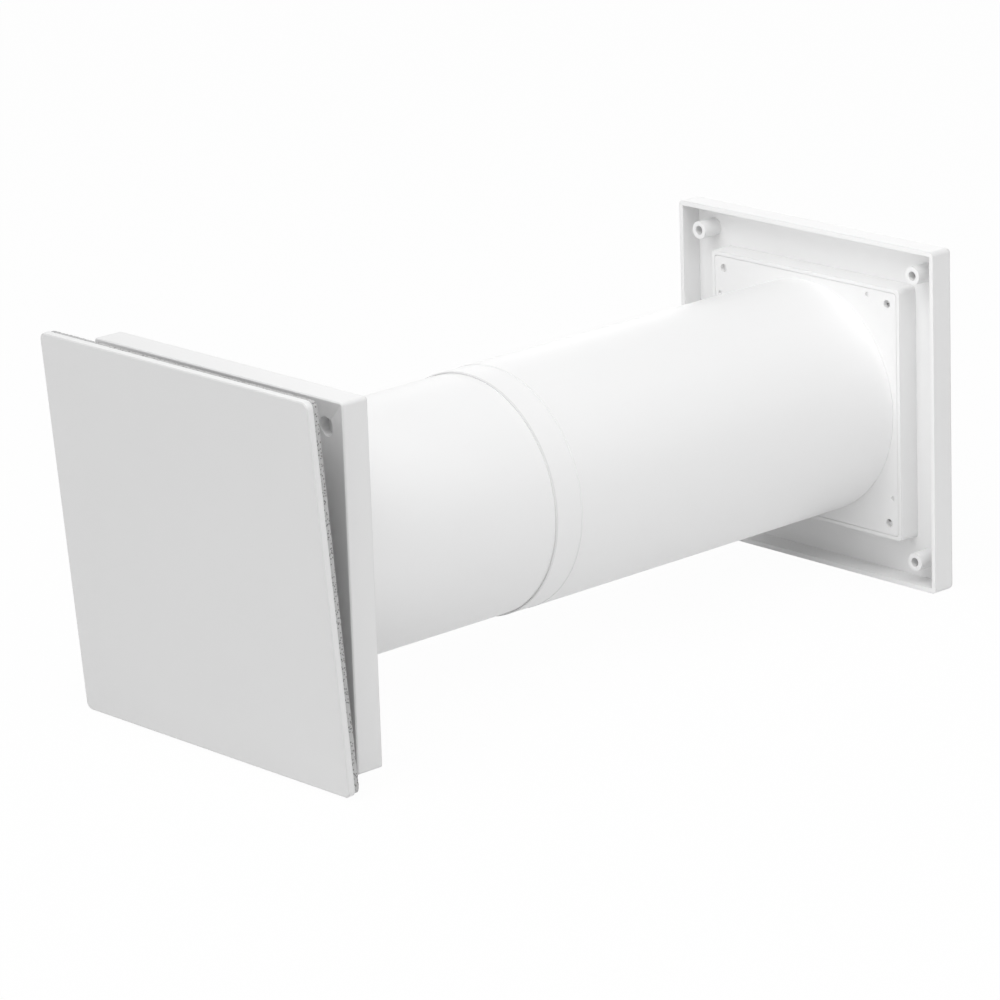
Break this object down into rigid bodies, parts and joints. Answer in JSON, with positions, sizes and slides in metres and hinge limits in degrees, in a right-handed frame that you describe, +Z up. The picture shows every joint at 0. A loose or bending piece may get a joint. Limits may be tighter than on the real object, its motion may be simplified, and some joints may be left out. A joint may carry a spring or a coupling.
{
  "type": "wall air vent",
  "caption": "Through-wall air vent: flat tilting panel on a square room frame, telescopic round duct and a square louvred weather cover.",
  "frame": {"origin": "centre of the room frame's wall screw pattern, on the room's wall plane", "axes": "+X right seen from the room, +Y through the wall to the outside, +Z up"},
  "size_m": [0.162, 0.3653, 0.1626],
  "materials": {
    "panel_white": "satin white moulding with a fine even grain",
    "felt_grey": "grey pressed felt with dark specks",
    "pin_steel": "plain drawn steel",
    "frame_white": "satin white moulding",
    "filter_white": "lofty white fibre mat",
    "flange_white": "satin white moulding",
    "tube_white": "smooth glossy extruded plastic",
    "screen_grey": "fine grey mesh",
    "cover_white": "satin white moulding"
  },
  "bodies": {
    "room_unit": {"room_frame": "frame_white", "filter_pad": "filter_white", "room_flange": "flange_white", "inner_tube": "tube_white", "hinge_pin_left": "pin_steel", "hinge_pin_right": "pin_steel"},
    "panel": {"front_panel": "panel_white", "panel_felt": "felt_grey"},
    "weather_end": {"outer_tube": "tube_white", "weather_flange": "flange_white", "insect_screen": "screen_grey", "weather_cover": "cover_white"}
  },
  "joints": [
    {"name": "panel_tilt", "type": "hinge", "parent": "room_unit", "child": "panel", "pos_m": [0, -0.0075, -0.067], "axis": [1, 0, 0], "range_deg": [-4.6, 15]},
    {"name": "tube_slide", "type": "slide", "parent": "room_unit", "child": "weather_end", "axis": [0, 1, 0], "range_m": [-0.105, 0.045]}
  ]
}
